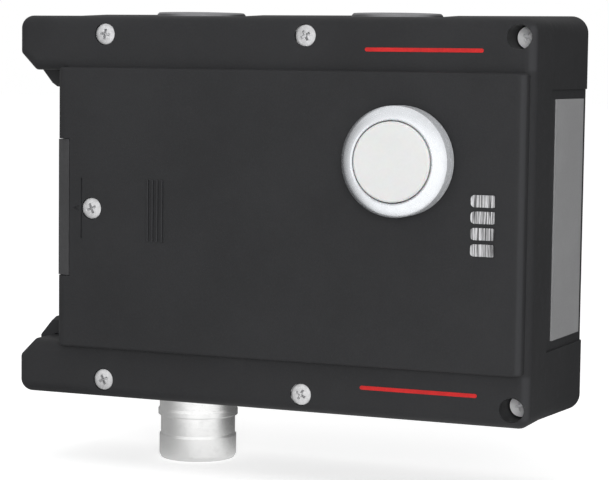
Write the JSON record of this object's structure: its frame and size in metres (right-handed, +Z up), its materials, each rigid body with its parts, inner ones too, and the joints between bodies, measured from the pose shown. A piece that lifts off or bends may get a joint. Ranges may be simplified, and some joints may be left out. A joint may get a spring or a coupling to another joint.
{
  "type": "guard locking module",
  "caption": "Guard locking module for a machine door: a tongue slides in between two ears, a solenoid pawl locks it, with a lit pushbutton and a round connector.",
  "frame": {"origin": "centre of the flat back face that lies on the wall or post", "axes": "+X from the tongue's mouth to the label side, +Y from the front to the back face, +Z up, away from the round connector"},
  "size_m": [0.1602, 0.0625, 0.1344],
  "materials": {
    "housing_plastic": "fine grain",
    "cover_plastic": "fine grain",
    "gasket_rubber": "matte",
    "screw_steel": "zinc plated",
    "label_foil": "satin",
    "frame_casting": "painted",
    "inner_plastic": "satin",
    "bezel_metal": "satin",
    "lens_white": "satin",
    "spring_steel": "bright",
    "nut_metal": "nickel",
    "lamp_clear": "clear",
    "guide_clear": "clear",
    "board_green": "solder mask",
    "terminal_grey": "satin",
    "plug_metal": "nickel plated",
    "connector_metal": "nickel plated",
    "insert_plastic": "matte",
    "pin_gold": "gold plated",
    "mechanism_steel": "zinc plated",
    "coil_winding": "taped"
  },
  "bodies": {
    "module": {"rear_housing": "housing_plastic", "front_cover": "cover_plastic", "cover_gasket": "gasket_rubber", "cover_screws": "screw_steel", "centre_screw": "screw_steel", "label_plate": "label_foil", "mouth_frame": "frame_casting", "read_head": "inner_plastic", "blanking_plug_left": "plug_metal", "blanking_plug_right": "plug_metal", "plug_seal_left": "gasket_rubber", "plug_seal_right": "gasket_rubber", "connector_shell": "connector_metal", "connector_insert": "insert_plastic", "connector_pins": "pin_gold", "connector_nut": "nut_metal", "connector_seal": "gasket_rubber", "button_bezel": "bezel_metal", "button_seal": "gasket_rubber", "button_spring": "spring_steel", "button_nut": "nut_metal", "contact_block": "inner_plastic", "button_lamp": "lamp_clear", "light_guide_1": "guide_clear", "light_guide_2": "guide_clear", "light_guide_3": "guide_clear", "light_guide_4": "guide_clear", "indicator_board": "board_green", "mechanism_plate": "mechanism_steel", "plate_screws": "screw_steel", "pawl_pin": "mechanism_steel", "plunger_spring": "spring_steel", "solenoid_yoke": "mechanism_steel", "solenoid_coil": "coil_winding", "main_board": "board_green", "board_screws": "screw_steel", "terminal_block_upper": "terminal_grey", "terminal_block_lower": "terminal_grey"},
    "button": {"button_lens": "lens_white", "button_plunger": "inner_plastic"},
    "plunger": {"solenoid_plunger": "mechanism_steel", "link_pin": "mechanism_steel"},
    "pawl": {"locking_pawl": "mechanism_steel"}
  },
  "joints": [
    {"name": "button_press", "type": "slide", "parent": "module", "child": "button", "axis": [0, 1, 0], "range_m": [0, 0.003], "stiffness_N_per_m": 800, "springref_m": -0.002, "deforming": ["button_spring"]},
    {"name": "plunger_pull", "type": "slide", "parent": "module", "child": "plunger", "axis": [0, 0, -1], "range_m": [0, 0.0039], "stiffness_N_per_m": 300, "springref_m": -0.01, "deforming": ["plunger_spring"]},
    {"name": "pawl_swing", "type": "hinge", "parent": "module", "child": "pawl", "pos_m": [-0.027, -0.0293, 0.025], "axis": [0, 1, 0], "range_deg": [0, 15]}
  ],
  "couplings": [
    {"joint": "pawl_swing", "follows": "plunger_pull", "rad_per_m": 66.67}
  ]
}
